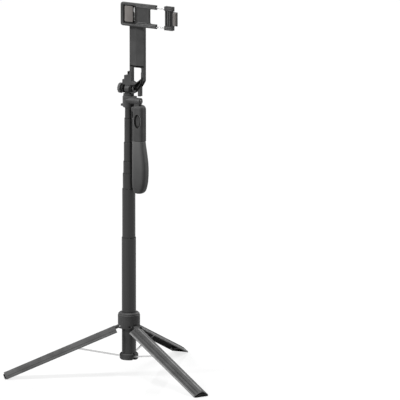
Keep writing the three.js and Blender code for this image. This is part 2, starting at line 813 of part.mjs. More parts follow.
// Phone clamp
const coverBack = armFront - fit;
const coverFront = coverBack - clampCoverDepth;
const plateBack = coverFront - fit;
const plateFront = plateBack - clampPlateDepth;
const clampLeft = armMiddle - clampReach;
const clampRight = clampLeft + clampLength;
const clampTop = armTop + clampOverArm;
const clampBottom = clampTop - clampHeight;
const clampMiddle = clampBottom + clampHeight / 2;
const padWindowLeft = clampLeft + padWindowInset;
const padWindowBottom = clampBottom + padWindowRise;
const rodHeights = rodRises.map((rise) => clampBottom + rise);
const rodY = (plateBack + plateFront) / 2;
const padWindowRight = padWindowLeft + padWindowWidth;
const padWindowTop = padWindowBottom + padWindowHeight;
const lipAxis = padWindowRight - fit - lipHinge;

const plateOutline = () => {
  const shape = new THREE.Shape();
  const throat = clampRight - notchDepth;
  shape.moveTo(clampLeft + clampCorner, clampBottom);
  shape.lineTo(clampRight, clampBottom);
  shape.lineTo(clampRight, clampBottom + notchProng);
  shape.lineTo(throat + notchCorner, clampBottom + notchProng);
  shape.quadraticCurveTo(throat, clampBottom + notchProng, throat, clampBottom + notchProng + notchCorner);
  shape.lineTo(throat, clampTop - notchProng - notchCorner);
  shape.quadraticCurveTo(throat, clampTop - notchProng, throat + notchCorner, clampTop - notchProng);
  shape.lineTo(clampRight, clampTop - notchProng);
  shape.lineTo(clampRight, clampTop);
  shape.lineTo(clampLeft + clampCorner, clampTop);
  shape.quadraticCurveTo(clampLeft, clampTop, clampLeft, clampTop - clampCorner);
  shape.lineTo(clampLeft, clampBottom + clampCorner);
  shape.quadraticCurveTo(clampLeft, clampBottom, clampLeft + clampCorner, clampBottom);
  return shape;
};

const rodBores = (grow) => rodHeights.map((z) => rod(rodRadius + grow,
  [clampRight - rodInPlate - jawClosing - fit, rodY, z], [clampRight + cutOverrun, rodY, z], 14));

const clampPlate = () => {
  const body = slabXZ(plateOutline(), plateFront, plateBack, clampBevel, 5);
  const padWindow = slabXZ(
    roundedBox(padWindowLeft, padWindowBottom, padWindowWidth, padWindowHeight, fit),
    plateFront - cutOverrun, plateBack + cutOverrun, 0, 2);
  const recess = block(
    [padWindowRight + panelMargin / 2, plateFront - cutOverrun, clampBottom + panelMargin],
    [clampRight - notchDepth - panelMargin / 2, plateFront + panelRecess, clampTop - panelMargin]);
  const lipPinHole = rod(lipPinRadius + fit / 2,
    [lipAxis, rodY, padWindowBottom - lipHinge - fit],
    [lipAxis, rodY, padWindowTop + lipHinge + fit], 12);
  return cut(body, padWindow, recess, lipPinHole, ...rodBores(fit / 2));
};

// The cover leaves the lip's window open, and reaches below it to the roll pin.
const clampCover = () => {
  const left = padWindowRight + fit;
  const shape = roundedBox(left, clampBottom + clampCoverInset,
    clampRight - notchDepth - clampCoverInset - left, clampHeight - 2 * clampCoverInset,
    clampCorner - clampCoverInset);
  const boss = rod(coverBoss, [armMiddle, coverFront, rollHeight], [armMiddle, coverBack, rollHeight], 32);
  const pin = rod(rollPinRadius + fit / 2, [armMiddle, coverFront - cutOverrun, rollHeight],
    [armMiddle, coverBack + cutOverrun, rollHeight], 22);
  return cut(join(slabXZ(shape, coverFront, coverBack, 0, 5), boss), pin);
};

// Lip in the plate's window. It lies flat at rest and folds out forwards about
// the window's right side, so that its pad then faces the sliding jaw. Two ears
// carry it on its pin, with a slot between them.
const fixedLip = () => {
  const low = padWindowBottom + fit;
  const high = padWindowTop - fit;
  const leaf = block([padWindowLeft + fit, rodY - lipThickness / 2, low],
    [lipAxis, rodY + lipThickness / 2, high]);
  const knuckle = rod(lipHinge, [lipAxis, rodY, low], [lipAxis, rodY, high], 16);
  const bore = rod(lipPinRadius + fit / 2, [lipAxis, rodY, low - cutOverrun],
    [lipAxis, rodY, high + cutOverrun], 12);
  const slot = block([lipAxis - lipSlot, plateFront - cutOverrun, low + lipEar],
    [padWindowRight, plateBack + cutOverrun, high - lipEar]);
  return cut(join(leaf, knuckle), bore, slot);
};

const fixedLipPin = () => rod(lipPinRadius, [lipAxis, rodY, padWindowBottom - lipHinge],
  [lipAxis, rodY, padWindowTop + lipHinge], 12);

// A pad whose front swells a little between its sides.
const crownedPad = (left, right, low, high) => {
  const back = rodY - lipThickness / 2 - fit;
  const edge = back - padThickness + padCrown;
  const shape = new THREE.Shape();
  shape.moveTo(left, back);
  shape.lineTo(left, edge);
  shape.quadraticCurveTo((left + right) / 2, edge - 2 * padCrown, right, edge);
  shape.lineTo(right, back);
  const face = slabXZ(roundedBox(left, low, right - left, high - low, padCorner),
    back - padThickness - cutOverrun, back + cutOverrun, 0, 4);
  return slabXY(shape, low, high, 6).intersect(face);
};

const fixedPad = () => crownedPad(padWindowLeft + padInset, lipAxis - lipSlot - fit,
  padWindowBottom + padInset, padWindowTop - padInset);

// Sliding jaw on its two rods.
const jawLeft = clampRight + jawClosing + jawCapProud + jawSpare;
const jawRight = jawLeft + jawLength;
const jawFront = plateFront - jawCapProud / 2;
const jawBackFace = coverBack;
const jawMiddle = clampMiddle;

const slidingJaw = () => {
  const core = block([jawLeft, plateFront, clampBottom], [jawRight, jawBackFace, clampTop]);
  const cap = (low) => block([jawLeft - jawCapProud, jawFront, low],
    [jawRight, jawBackFace, low + jawCap]);
  const ribs = jawRibShares.map((share) => {
    const x = jawLeft + share * jawLength;
    return block([x, plateFront - cutOverrun, clampBottom + jawCap],
      [x + jawRibWidth, plateFront + jawRibDepth, clampTop - jawCap]);
  });
  const slotWay = block(
    [jawRight - lipHinge - lipThickness / 2 - fit, jawFront - cutOverrun, jawMiddle - jawLipHeight / 2 - fit],
    [jawRight + cutOverrun, jawBackFace + cutOverrun, jawMiddle + jawLipHeight / 2 + fit]);
  const hingeWay = rod(lipHinge + fit, [jawRight - lipHinge, rodY, jawMiddle - jawLipHeight / 2 - fit],
    [jawRight - lipHinge, rodY, jawMiddle + jawLipHeight / 2 + fit], 16);
  const hingePin = rod(lipPinRadius + fit / 2,
    [jawRight - lipHinge, rodY, jawMiddle - jawLipHeight / 2 - 2 * lipHinge],
    [jawRight - lipHinge, rodY, jawMiddle + jawLipHeight / 2 + 2 * lipHinge], 12);
  const bores = rodHeights.map((z) => rod(rodRadius + fit / 2,
    [jawLeft - jawCapProud - cutOverrun, rodY, z], [jawLeft + rodInJaw + fit, rodY, z], 16));
  return cut(join(core, cap(clampBottom), cap(clampTop - jawCap)),
    ...ribs, slotWay, hingeWay, hingePin, ...bores);
};

const jawLip = () => {
  const x = jawRight - lipHinge;
  const low = jawMiddle - jawLipHeight / 2;
  const high = jawMiddle + jawLipHeight / 2;
  const leaf = block([x, rodY - lipThickness / 2, low],
    [jawRight + jawLipReach, rodY + lipThickness / 2, high]);
  const knuckle = rod(lipHinge, [x, rodY, low], [x, rodY, high], 16);
  const bore = rod(lipPinRadius + fit / 2, [x, rodY, low - cutOverrun], [x, rodY, high + cutOverrun], 12);
  return cut(join(leaf, knuckle), bore);
};

const jawLipPin = () => {
  const x = jawRight - lipHinge;
  return rod(lipPinRadius, [x, rodY, jawMiddle - jawLipHeight / 2 - lipHinge],
    [x, rodY, jawMiddle + jawLipHeight / 2 + lipHinge], 12);
};

const jawPad = () => crownedPad(jawRight + padInset / 2, jawRight + jawLipReach - padInset / 2,
  jawMiddle - jawLipHeight / 2 + padInset / 2, jawMiddle + jawLipHeight / 2 - padInset / 2);

const clampRod = (z) => rod(rodRadius, [clampRight - rodInPlate, rodY, z],
  [jawLeft + rodInJaw, rodY, z], 16);

const rollPin = () => join(
  rod(rollPinRadius, [armMiddle, coverFront + fit, rollHeight],
    [armMiddle, armBack - rollPinHeadHeight / 2, rollHeight], 22),
  rod(rollPinHead, [armMiddle, armBack - rollPinHeadHeight, rollHeight],
    [armMiddle, armBack, rollHeight], 26),
);

const clamp = new THREE.Group();
clamp.add(part('clamp_plate', clampPlate(), blackPlastic()));
clamp.add(part('clamp_cover', clampCover(), darkPlastic()));
clamp.add(part('roll_pin', rollPin(), steel()));
clamp.add(part('fixed_lip', fixedLip(), blackPlastic()));
clamp.add(part('fixed_lip_pin', fixedLipPin(), steel()));
clamp.add(part('fixed_lip_pad', fixedPad(), greyPad()));
clamp.add(part('sliding_jaw', slidingJaw(), blackPlastic()));
clamp.add(part('jaw_lip', jawLip(), blackPlastic()));
clamp.add(part('jaw_lip_pin', jawLipPin(), steel()));
clamp.add(part('jaw_lip_pad', jawPad(), greyPad()));
clamp.add(part('clamp_rod_lower', clampRod(rodHeights[0]), steel()));
clamp.add(part('clamp_rod_upper', clampRod(rodHeights[1]), steel()));

// Handle and grip
const handleRight = handleLeft + handleWidth;
const handleMiddle = handleLeft + handleWidth / 2;
const handleFront = handleY - handleDepth / 2;
const handleBack = handleY + handleDepth / 2;
const lugLeft = barrelEnd + fit;
const remoteFront = handleFront + frontWall + fit;
const remoteBack = remoteFront + remoteDepth;
const remoteMiddle = handleMiddle + remoteAside;
const remoteLeft = remoteMiddle - remoteWidth / 2;
const remoteTop = handleTop - remoteHead;
const remoteBottom = remoteTop - remoteLength;
const gripTop = remoteBottom - remoteSeat;
const gripBottom = gripTop - gripLength;
const ovalCentre = remoteTop - buttonDrop;
const slotTop = remoteTop - slotDrop;

const handleFrame = () => {
  const low = gripTop - gripTongue;
  const deep = handleBack + handleRound;
  const arch = slabXZ(
    roundedBox(handleLeft, low, handleWidth, handleTop - low, handleCorner),
    handleFront, deep, handleRound, 6, 3);
  const curl = slabXZ(
    roundedBox(handleLeft - curlReach, slotTop, handleWidth / 2 + curlReach, handleTop - slotTop - curlReach,
      handleCorner / 2),
    handleFront + handleBevel, deep, handleBevel, 5);
  const trimmed = cut(join(arch, curl),
    block([handleLeft - handleWidth, handleFront - cutOverrun, low - cutOverrun],
      [handleRight + cutOverrun, deep + cutOverrun, gripTop]),
    block([handleLeft - handleWidth, handleBack, low],
      [handleRight + cutOverrun, deep + cutOverrun, handleTop]));
  const tongue = block([handleMiddle - handleWidth / 4, handleY - handleDepth / 4, low],
    [handleMiddle + handleWidth / 4, handleY + handleDepth / 4, remoteBottom - fit]);
  const eye = rod(barrelRadius, [lugLeft, barrelY, barrelHeight],
    [lugLeft + handleLug, barrelY, barrelHeight], 28);
  const stem = block([lugLeft, barrelY - barrelRadius + handleBevel, handleTop - handleCorner],
    [lugLeft + handleLug - handleBevel, barrelY + barrelRadius - handleBevel, barrelHeight]);
  const bore = rod(handlePinRadius + fit / 2, [lugLeft - cutOverrun, barrelY, barrelHeight],
    [lugLeft + handleLug + cutOverrun, barrelY, barrelHeight], 18);
  const cavity = slabXZ(
    roundedBox(remoteLeft - fit, remoteBottom - fit, remoteWidth + 2 * fit, remoteLength + 2 * fit,
      remoteCorner),
    handleFront + frontWall, handleBack + cutOverrun, 0, 5);
  const window = slabXZ(oval(remoteMiddle, ovalCentre, ovalWidth, ovalHeight),
    handleFront - cutOverrun, handleFront + frontWall + cutOverrun, 0, 10);
  const sideSlot = block(
    [handleLeft - curlReach - cutOverrun, handleFront + handleBevel, slotTop - slotHeight],
    [handleLeft + slotDepth, handleBack - handleBevel - fit, slotTop]);
  return cut(join(trimmed, tongue, eye, stem), bore, cavity, window, sideSlot);
};

const handlePin = () => join(
  rod(handlePinRadius, [neckRadius + 2 * fit + handlePinHeadHeight, barrelY, barrelHeight],
    [lugLeft + handleLug + handlePinHeadHeight / 2, barrelY, barrelHeight], 18),
  rod(handlePinHead, [lugLeft + handleLug + fit, barrelY, barrelHeight],
    [lugLeft + handleLug + fit + handlePinHeadHeight, barrelY, barrelHeight], 22,
    handlePinHead - handlePinHeadHeight / 2),
);

// The grip swells away from the mast and narrows to a flat toe.
const grip = () => {
  const high = gripTop - fit;
  const body = lofted(gripShares.map(([heightShare, toeShare, bulgeShare, depthShare]) => [
    gripBottom + heightShare * (high - gripBottom),
    handleLeft + toeShare * gripToe,
    handleRight + bulgeShare * gripBulge,
    handleY - depthShare * gripDepth / 2,
    handleY + depthShare * gripDepth / 2,
  ]), gripRound);
  const socket = block(
    [handleMiddle - handleWidth / 4 - fit, handleY - handleDepth / 4 - fit, gripTop - gripTongue - fit],
    [handleMiddle + handleWidth / 4 + fit, handleY + handleDepth / 4 + fit, gripTop + cutOverrun]);
  return cut(body, socket);
};

// Remote and what it holds
const remoteSplit = remoteBack - remoteBackWall;
const buttonLip = remoteFront + remoteWall;

const remoteShell = () => {
  const outer = slabXZ(roundedBox(remoteLeft, remoteBottom, remoteWidth, remoteLength, remoteCorner),
    remoteFront, remoteSplit - fit, 0, 5);
  const inside = slabXZ(
    roundedBox(remoteLeft + remoteWall, remoteBottom + remoteWall, remoteWidth - 2 * remoteWall,
      remoteLength - 2 * remoteWall, remoteCorner - remoteWall),
    buttonLip, remoteSplit + cutOverrun, 0, 5);
  const hole = slabXZ(oval(remoteMiddle, ovalCentre, buttonWidth + 2 * fit, buttonHeight + 2 * fit),
    remoteFront - cutOverrun, buttonLip + cutOverrun, 0, 10);
  return cut(outer, inside, hole);
};

const remoteCover = () => slabXZ(
  roundedBox(remoteLeft, remoteBottom, remoteWidth, remoteLength, remoteCorner),
  remoteSplit, remoteBack, handleBevel / 2, 5);

const boardFront = buttonLip + buttonRim + buttonTravel + 2 * fit;
const remoteButton = () => join(
  slabXZ(oval(remoteMiddle, ovalCentre, buttonWidth, buttonHeight),
    remoteFront, buttonLip + fit, 0, 10),
  slabXZ(oval(remoteMiddle, ovalCentre, buttonWidth + 2 * buttonRim, buttonHeight + 2 * buttonRim),
    buttonLip + fit, buttonLip + fit + buttonRim, 0, 10),
);

const remoteBoard = () => {
  const edge = remoteWall + fit;
  return slabXZ(roundedBox(remoteLeft + edge, remoteBottom + edge, remoteWidth - 2 * edge,
    remoteLength - 2 * edge, remoteCorner - edge), boardFront, boardFront + boardThickness, 0, 4);
};

const remoteCell = () => {
  const z = remoteBottom + remoteWall + fit + cellRadius + remoteWall;
  const y = boardFront + boardThickness + fit;
  return rod(cellRadius, [remoteMiddle, y, z], [remoteMiddle, y + cellThickness, z], 24);
};

const handleGroup = new THREE.Group();
handleGroup.add(part('handle_frame', handleFrame(), blackPlastic()));
handleGroup.add(part('handle_pin', handlePin(), steel()));
handleGroup.add(part('handle_grip', grip(), gripRubber()));
handleGroup.add(part('remote_shell', remoteShell(), blackPlastic()));
handleGroup.add(part('remote_cover', remoteCover(), blackPlastic()));
handleGroup.add(part('remote_button', remoteButton(), darkPlastic()));
handleGroup.add(part('remote_board', remoteBoard(), boardGreen()));
handleGroup.add(part('remote_cell', remoteCell(), steel()));

const group = new THREE.Group();
group.add(column, hubGroup, mast, head, tiltGroup, clamp, handleGroup);

export default group;
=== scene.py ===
import json
from math import atan2, cos, pi, radians, sin

import bmesh
import bpy
from mathutils import Matrix, Vector


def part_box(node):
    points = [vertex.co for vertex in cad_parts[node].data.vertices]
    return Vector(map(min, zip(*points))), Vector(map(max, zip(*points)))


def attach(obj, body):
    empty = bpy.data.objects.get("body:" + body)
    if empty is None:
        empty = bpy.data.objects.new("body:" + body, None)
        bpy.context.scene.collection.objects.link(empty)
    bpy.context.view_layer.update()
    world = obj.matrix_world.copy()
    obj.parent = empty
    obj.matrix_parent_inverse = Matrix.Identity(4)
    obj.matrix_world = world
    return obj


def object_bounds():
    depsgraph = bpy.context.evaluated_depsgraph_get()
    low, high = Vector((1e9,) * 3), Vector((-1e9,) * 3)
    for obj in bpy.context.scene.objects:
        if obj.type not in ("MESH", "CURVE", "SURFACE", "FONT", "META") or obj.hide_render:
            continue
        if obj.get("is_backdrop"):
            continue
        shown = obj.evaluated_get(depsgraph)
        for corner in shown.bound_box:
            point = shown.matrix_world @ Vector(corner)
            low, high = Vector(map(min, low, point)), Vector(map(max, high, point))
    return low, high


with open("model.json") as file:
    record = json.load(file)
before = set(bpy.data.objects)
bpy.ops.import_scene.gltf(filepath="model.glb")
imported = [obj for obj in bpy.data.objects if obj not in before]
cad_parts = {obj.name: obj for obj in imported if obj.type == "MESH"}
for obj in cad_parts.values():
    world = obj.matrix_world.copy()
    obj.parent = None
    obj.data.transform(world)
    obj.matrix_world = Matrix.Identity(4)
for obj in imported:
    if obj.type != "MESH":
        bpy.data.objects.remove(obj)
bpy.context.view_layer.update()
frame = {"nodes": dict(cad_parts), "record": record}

MM = 0.001
scene = bpy.context.scene
scene.view_settings.view_transform = "Standard"

# Camera, fitted to the left figure of the photograph, in degrees, metres and pixels
AZIMUTH, ELEVATION, YAW, PITCH = 32.657, 11.188, -0.388, 0.085
DISTANCE, FOCAL_PIXELS, IMAGE_PIXELS = 15.011, 10720.4, 400
SENSOR_WIDTH, NEAREST, FARTHEST = 36.0, 0.1, 200
TARGET = Vector((0, 0, 0.250))

# Studio: each lamp's azimuth, elevation, distance, size and power, then the world and the floor
LAMPS = {"key": (-42, 34, 7.0, 1.6, 470), "top": (10, 78, 7.0, 2.4, 300), "back": (160, 36, 7.0, 3.0, 210)}
WORLD_LIGHT = 0.28
FLOOR_REACH, FLOOR_ROUGHNESS = 60, 0.08
FLOOR_BOUNCED, FLOOR_SEEN, FLOOR_GLOW = 0.42, 0.96, 0.78

# Looks: samples of their rounded edges and painted edge highlight and of their painted hollow shade, the half
# blur of a fleck and the tone of the painted shade in a deep hollow
EDGE_SAMPLES, HOLLOW_SAMPLES, FLECK_BLUR, PAINTED_SHADE_TONE = 4, 6, 0.04, 4

# Meshes: points closer than this many metres are one; a bead's section as shares of its width and height,
# and how far its foot is sunk
WELD = 1e-7
BEAD_SECTION = ((-0.5, 0), (-0.5, 0.35), (-0.36, 0.8), (-0.16, 1),
                (0.16, 1), (0.36, 0.8), (0.5, 0.35), (0.5, 0))
BEAD_SUNK = 0.25

# Legs as the CAD has them: knee's distance from the column's axis, spread, length and half arc of the shell
LEGS = (1, 2, 3)
KNEE_RADIUS, SPREAD, LEG_LENGTH, HALF_ARC = 13.2, radians(67.65), 175.7, radians(57.5)
# A line along a leg: its heights below the knee, its section as shares of half its width and of its height,
# how high it still is at its ends, and how far its foot is sunk
LINE_ENDS, LINE_SHOULDERS = (-9.0, -174.5), (-9.6, -172.0)
LINE_SECTION = ((-1, 0), (-1, 0.5), (-0.5, 1), (0.5, 1), (1, 0.5), (1, 0))
LINE_FADE, LINE_SUNK = 0.02, 0.2

LOOKS = {}


def outward(azimuth, elevation):
    """Unit vector from the target towards a place at these angles."""
    a, e = radians(azimuth), radians(elevation)
    return Vector((sin(a) * cos(e), -cos(a) * cos(e), sin(e)))


def stand(name, data, azimuth, elevation, distance, yaw=0.0, pitch=0.0):
    """Put a camera or lamp round the target, facing it but for yaw and pitch."""
    thing = bpy.data.objects.new(name, data)
    scene.collection.objects.link(thing)
    thing.location = TARGET + distance * outward(azimuth, elevation)
    thing.rotation_mode = "QUATERNION"
    thing.rotation_quaternion = outward(azimuth + yaw, elevation + pitch).to_track_quat("Z", "Y")
    return thing


def add_camera():
    data = bpy.data.cameras.new("camera")
    data.lens = FOCAL_PIXELS * SENSOR_WIDTH / IMAGE_PIXELS
    data.sensor_width = SENSOR_WIDTH
    data.clip_start, data.clip_end = NEAREST, FARTHEST
    scene.camera = stand("camera", data, AZIMUTH, ELEVATION, DISTANCE, YAW, PITCH)


def add_lamp(name, azimuth, elevation, distance, size, power):
    data = bpy.data.lights.new(name, "AREA")
    data.shape = "DISK"
    data.size = size
    data.energy = power
    stand(name, data, azimuth, elevation, distance)


def emptied_tree(owner):
    owner.use_nodes = True
    owner.node_tree.nodes.clear()
    return owner.node_tree


def calculate(tree, operation, first, second):
    """Result of a math node on a socket and either a socket or a number."""
    sums = tree.nodes.new("ShaderNodeMath")
    sums.operation = operation
    tree.links.new(first, sums.inputs[0])
    if isinstance(second, float):
        sums.inputs[1].default_value = second
    else:
        tree.links.new(second, sums.inputs[1])
    return sums.outputs[0]


def mix_to_surface(tree, share, first, second, output):
    """Send a mix of two shaders to an output node."""
    mix = tree.nodes.new("ShaderNodeMixShader")
    tree.links.new(share, mix.inputs[0])
    tree.links.new(first.outputs[0], mix.inputs[1])
    tree.links.new(second.outputs[0], mix.inputs[2])
    tree.links.new(mix.outputs[0], output.inputs["Surface"])


def shown_rays(tree):
    """1 for rays that should see the pale studio: from the camera, off gloss and through glass."""
    path = tree.nodes.new("ShaderNodeLightPath").outputs
    shown = calculate(tree, "MAXIMUM", path["Is Camera Ray"], path["Is Glossy Ray"])
    return calculate(tree, "MAXIMUM", shown, path["Is Transmission Ray"])


def add_world():
    world = bpy.data.worlds.new("studio")
    scene.world = world
    tree = emptied_tree(world)
    light = tree.nodes.new("ShaderNodeBackground")
    light.inputs["Strength"].default_value = WORLD_LIGHT
    pale = tree.nodes.new("ShaderNodeBackground")
    pale.inputs["Strength"].default_value = 1
    mix_to_surface(tree, shown_rays(tree), light, pale, tree.nodes.new("ShaderNodeOutputWorld"))


def add_floor(level):
    """Pale floor that keeps the object's shadow and a faint reflection of it."""
    mesh = bpy.data.meshes.new("floor")
    far = FLOOR_REACH
    square = [(x, y, level) for x, y in ((-far, -far), (far, -far), (far, far), (-far, far))]
    mesh.from_pydata(square, [], [(0, 1, 2, 3)])
    floor = bpy.data.objects.new("floor", mesh)
    scene.collection.objects.link(floor)
    material = bpy.data.materials.new("floor")
    tree = emptied_tree(material)
    seen = shown_rays(tree)
    color = tree.nodes.new("ShaderNodeMix")
    color.data_type = "RGBA"
    color.inputs["A"].default_value = (FLOOR_BOUNCED, FLOOR_BOUNCED, FLOOR_BOUNCED, 1)
    color.inputs["B"].default_value = (FLOOR_SEEN, FLOOR_SEEN, FLOOR_SEEN, 1)
    tree.links.new(seen, color.inputs["Factor"])
    matt = tree.nodes.new("ShaderNodeBsdfPrincipled")
    matt.inputs["Roughness"].default_value = FLOOR_ROUGHNESS
    tree.links.new(color.outputs["Result"], matt.inputs["Base Color"])
    white = tree.nodes.new("ShaderNodeEmission")
    white.inputs["Strength"].default_value = 1
    glow = calculate(tree, "MULTIPLY", seen, FLOOR_GLOW)
    mix_to_surface(tree, glow, matt, white, tree.nodes.new("ShaderNodeOutputMaterial"))
    mesh.materials.append(material)
    floor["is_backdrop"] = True


def linear(level):
    """Linear value of an 8-bit sRGB level."""
    c = level / 255
    return c / 12.92 if c <= 0.04045 else ((c + 0.055) / 1.055) ** 2.4


def tone(level):
    """Colour of one grey level, or of three levels for red, green and blue."""
    levels = level if isinstance(level, tuple) else (level,) * 3
    return tuple(linear(value) for value in levels) + (1,)


class Look:
    """A node material on the Principled shader, built up a layer at a time."""

    def __init__(self, name, roughness, metallic=0.0, specular=0.5):
        self.name = name
        self.material = bpy.data.materials.new(name)
        self.material.use_nodes = True
        self.tree = self.material.node_tree
        self.shader = self.tree.nodes["Principled BSDF"]
        self.shader.inputs["Metallic"].default_value = metallic
        self.shader.inputs["Specular IOR Level"].default_value = specular
        self.shader.inputs["Roughness"].default_value = roughness
        self.roughness = roughness
        self.place = self.tree.nodes.new("ShaderNodeTexCoord").outputs["Object"]
        self.color = None
        self.normal = None

    def node(self, kind, **values):
        node = self.tree.nodes.new(kind)
        for key, value in values.items():
            setattr(node, key, value)
        return node

    def link(self, source, target):
        self.tree.links.new(source, target)

    def noise(self, scale, detail=3.0, stretch=None):
        source = self.place
        if stretch:
            scaled = self.node("ShaderNodeMapping")
            scaled.inputs["Scale"].default_value = stretch
            self.link(self.place, scaled.inputs["Vector"])
            source = scaled.outputs[0]
        noise = self.node("ShaderNodeTexNoise")
        noise.inputs["Scale"].default_value = scale
        noise.inputs["Detail"].default_value = detail
        self.link(source, noise.inputs["Vector"])
        return noise.outputs["Fac"]

    def ramp(self, source, stops, smooth=False):
        """Values or colours at [position, value] stops along a source."""
        ramp = self.node("ShaderNodeValToRGB")
        if smooth:
            ramp.color_ramp.interpolation = "EASE"
        elements = ramp.color_ramp.elements
        while len(elements) < len(stops):
            elements.new(0.5)
        for element, (position, value) in zip(elements, stops):
            element.position = position
            element.color = value if isinstance(value, tuple) else (value, value, value, 1)
        self.link(source, ramp.inputs["Fac"])
        return ramp.outputs["Color"]

    def paint(self, low, high, scale, detail=3.0, stretch=None):
        """Base colour that wanders between two tones."""
        stops = [(0.35, tone(low)), (0.65, tone(high))]
        self.color = self.ramp(self.noise(scale, detail, stretch), stops)
        return self

    def over(self, tint, mask):
        """Another tone where the mask says so."""
        mix = self.node("ShaderNodeMix", data_type="RGBA")
        self.link(mask, mix.inputs["Factor"])
        self.link(self.color, mix.inputs["A"])
        mix.inputs["B"].default_value = tone(tint)
        self.color = mix.outputs["Result"]
        return self

    def speckle(self, tint, scale, share, amount):
        """Fine flecks of another tone."""
        limit = 1 - share
        stops = [(limit - FLECK_BLUR, 0.0), (limit + FLECK_BLUR, amount)]
        return self.over(tint, self.ramp(self.noise(scale, 1.0), stops))

    def bevelled(self, radius):
        bevel = self.node("ShaderNodeBevel", samples=EDGE_SAMPLES)
        bevel.inputs["Radius"].default_value = radius
        return bevel.outputs[0]

    def rub_and_highlight_edges(self, tint, width, amount):
        """A lighter tone along the edges, broken up by noise: partly pale rubbing, partly a painted highlight
        where light catches the edges.
        """
        dot = self.node("ShaderNodeVectorMath", operation="DOT_PRODUCT")
        self.link(self.bevelled(width), dot.inputs[0])
        self.link(self.node("ShaderNodeNewGeometry").outputs["Normal"], dot.inputs[1])
        edge = self.ramp(dot.outputs["Value"], [(0.88, amount), (0.995, 0.0)])
        patches = self.ramp(self.noise(260.0), [(0.3, 0.45), (0.62, 1.0)])
        return self.over(tint, calculate(self.tree, "MULTIPLY", edge, patches))

    def rise(self, low, high):
        """0 at one height and 1 at the other, in metres."""
        parts = self.node("ShaderNodeSeparateXYZ")
        self.link(self.place, parts.inputs[0])
        climb = self.node("ShaderNodeMapRange")
        climb.inputs["From Min"].default_value = low
        climb.inputs["From Max"].default_value = high
        self.link(parts.outputs["Z"], climb.inputs["Value"])
        return climb.outputs[0]

    def paint_hollow_shade(self, reach, share):
        """Painted shade: darker where a hollow or corner keeps the light out."""
        open_air = self.node("ShaderNodeAmbientOcclusion", samples=HOLLOW_SAMPLES)
        open_air.inputs["Distance"].default_value = reach
        hollow = self.ramp(open_air.outputs["AO"], [(0.12, share), (0.8, 0.0)], smooth=True)
        return self.over(PAINTED_SHADE_TONE, hollow)

    def vary_gloss(self, spread, scale, detail=3.0, stretch=None):
        stops = [(0.3, self.roughness - spread), (0.7, self.roughness + spread)]
        self.link(self.ramp(self.noise(scale, detail, stretch), stops), self.shader.inputs["Roughness"])
        return self

    def soften(self, radius):
        """Edges that a moulding tool leaves slightly round."""
        self.normal = self.bevelled(radius)
        return self

    def relief(self, source, distance):
        bump = self.node("ShaderNodeBump")
        bump.inputs["Distance"].default_value = distance
        bump.inputs["Strength"].default_value = 1.0
        self.link(source, bump.inputs["Height"])
        if self.normal is not None:
            self.link(self.normal, bump.inputs["Normal"])
        self.normal = bump.outputs[0]
        return self

    def done(self):
        self.link(self.color, self.shader.inputs["Base Color"])
        self.link(self.normal, self.shader.inputs["Normal"])
        LOOKS[self.name] = self.material


def moulded(name, dark, light, roughness, edge=96, specular=0.2):
    """Black plastic from a spark-eroded tool: fine even grain, faint flow marks, edges rubbed pale and given
    a painted highlight, and painted shade in hollows and corners.
    """
    look = Look(name, roughness, specular=specular)
    look.paint(dark, light, scale=60.0, detail=4.0).speckle(edge, scale=2600.0, share=0.28, amount=0.16)
    look.rub_and_highlight_edges(edge + 14, width=0.0007, amount=0.30).paint_hollow_shade(reach=0.006, share=0.85)
    look.vary_gloss(spread=0.06, scale=90.0)
    look.soften(radius=0.00035).relief(look.noise(1400.0, detail=2.0), distance=0.00003)
    look.done()


def anodised(name, dark, light, roughness):
    """Drawn and anodised tube: long fine drawing lines and a soft metal gloss."""
    look = Look(name, roughness, metallic=0.45)
    look.paint(dark, light, scale=240.0, stretch=(1, 1, 0.012))
    look.speckle(120, scale=3000.0, share=0.2, amount=0.12).rub_and_highlight_edges(110, width=0.0005, amount=0.3)
    look.vary_gloss(spread=0.05, scale=500.0, detail=2.0, stretch=(1, 1, 0.02))
    lines = look.noise(900.0, detail=2.0, stretch=(1, 1, 0.01))
    look.soften(radius=0.00025).relief(lines, distance=0.00001)
    look.done()


def rubbery(name, dark, light, roughness, grain=900.0, sheen=0.15, painted_top_light=None):
    """Soft matt rubber; given two heights and a paler tone, it pales towards that tone between them, as
    painted light on the upper part.
    """
    look = Look(name, roughness, specular=0.2)
    look.shader.inputs["Sheen Weight"].default_value = sheen
    look.paint(dark, light, scale=45.0, detail=4.0)
    if painted_top_light:
        low, high, pale = painted_top_light
        look.over(pale, look.rise(low, high))
    look.speckle(130, scale=2000.0, share=0.22, amount=0.10)
    look.rub_and_highlight_edges(120, width=0.0009, amount=0.22)
    look.vary_gloss(spread=0.05, scale=120.0)
    look.soften(radius=0.0004).relief(look.noise(grain), distance=0.00005)
    look.done()


def bare_steel(name, dark, light):
    """Ground steel with dull flecks and an uneven gloss."""
    look = Look(name, roughness=0.3, metallic=0.9)
    look.paint(dark, light, scale=300.0).speckle(140, scale=1500.0, share=0.12, amount=0.12)
    look.vary_gloss(spread=0.1, scale=700.0, detail=2.0)
    look.soften(radius=0.0002).relief(look.noise(1600.0, detail=2.0), distance=0.000008)
    look.done()


def blackened(name, dark, light):
    """Black-finished steel of the screws and pins that show on black plastic."""
    look = Look(name, roughness=0.36, metallic=0.7)
    look.paint(dark, light, scale=420.0).speckle(120, scale=1800.0, share=0.15, amount=0.25)
    look.rub_and_highlight_edges(150, width=0.0003, amount=0.5)
    look.vary_gloss(spread=0.08, scale=600.0, detail=2.0)
    look.soften(radius=0.00015).relief(look.noise(1500.0, detail=2.0), distance=0.000006)
    look.done()


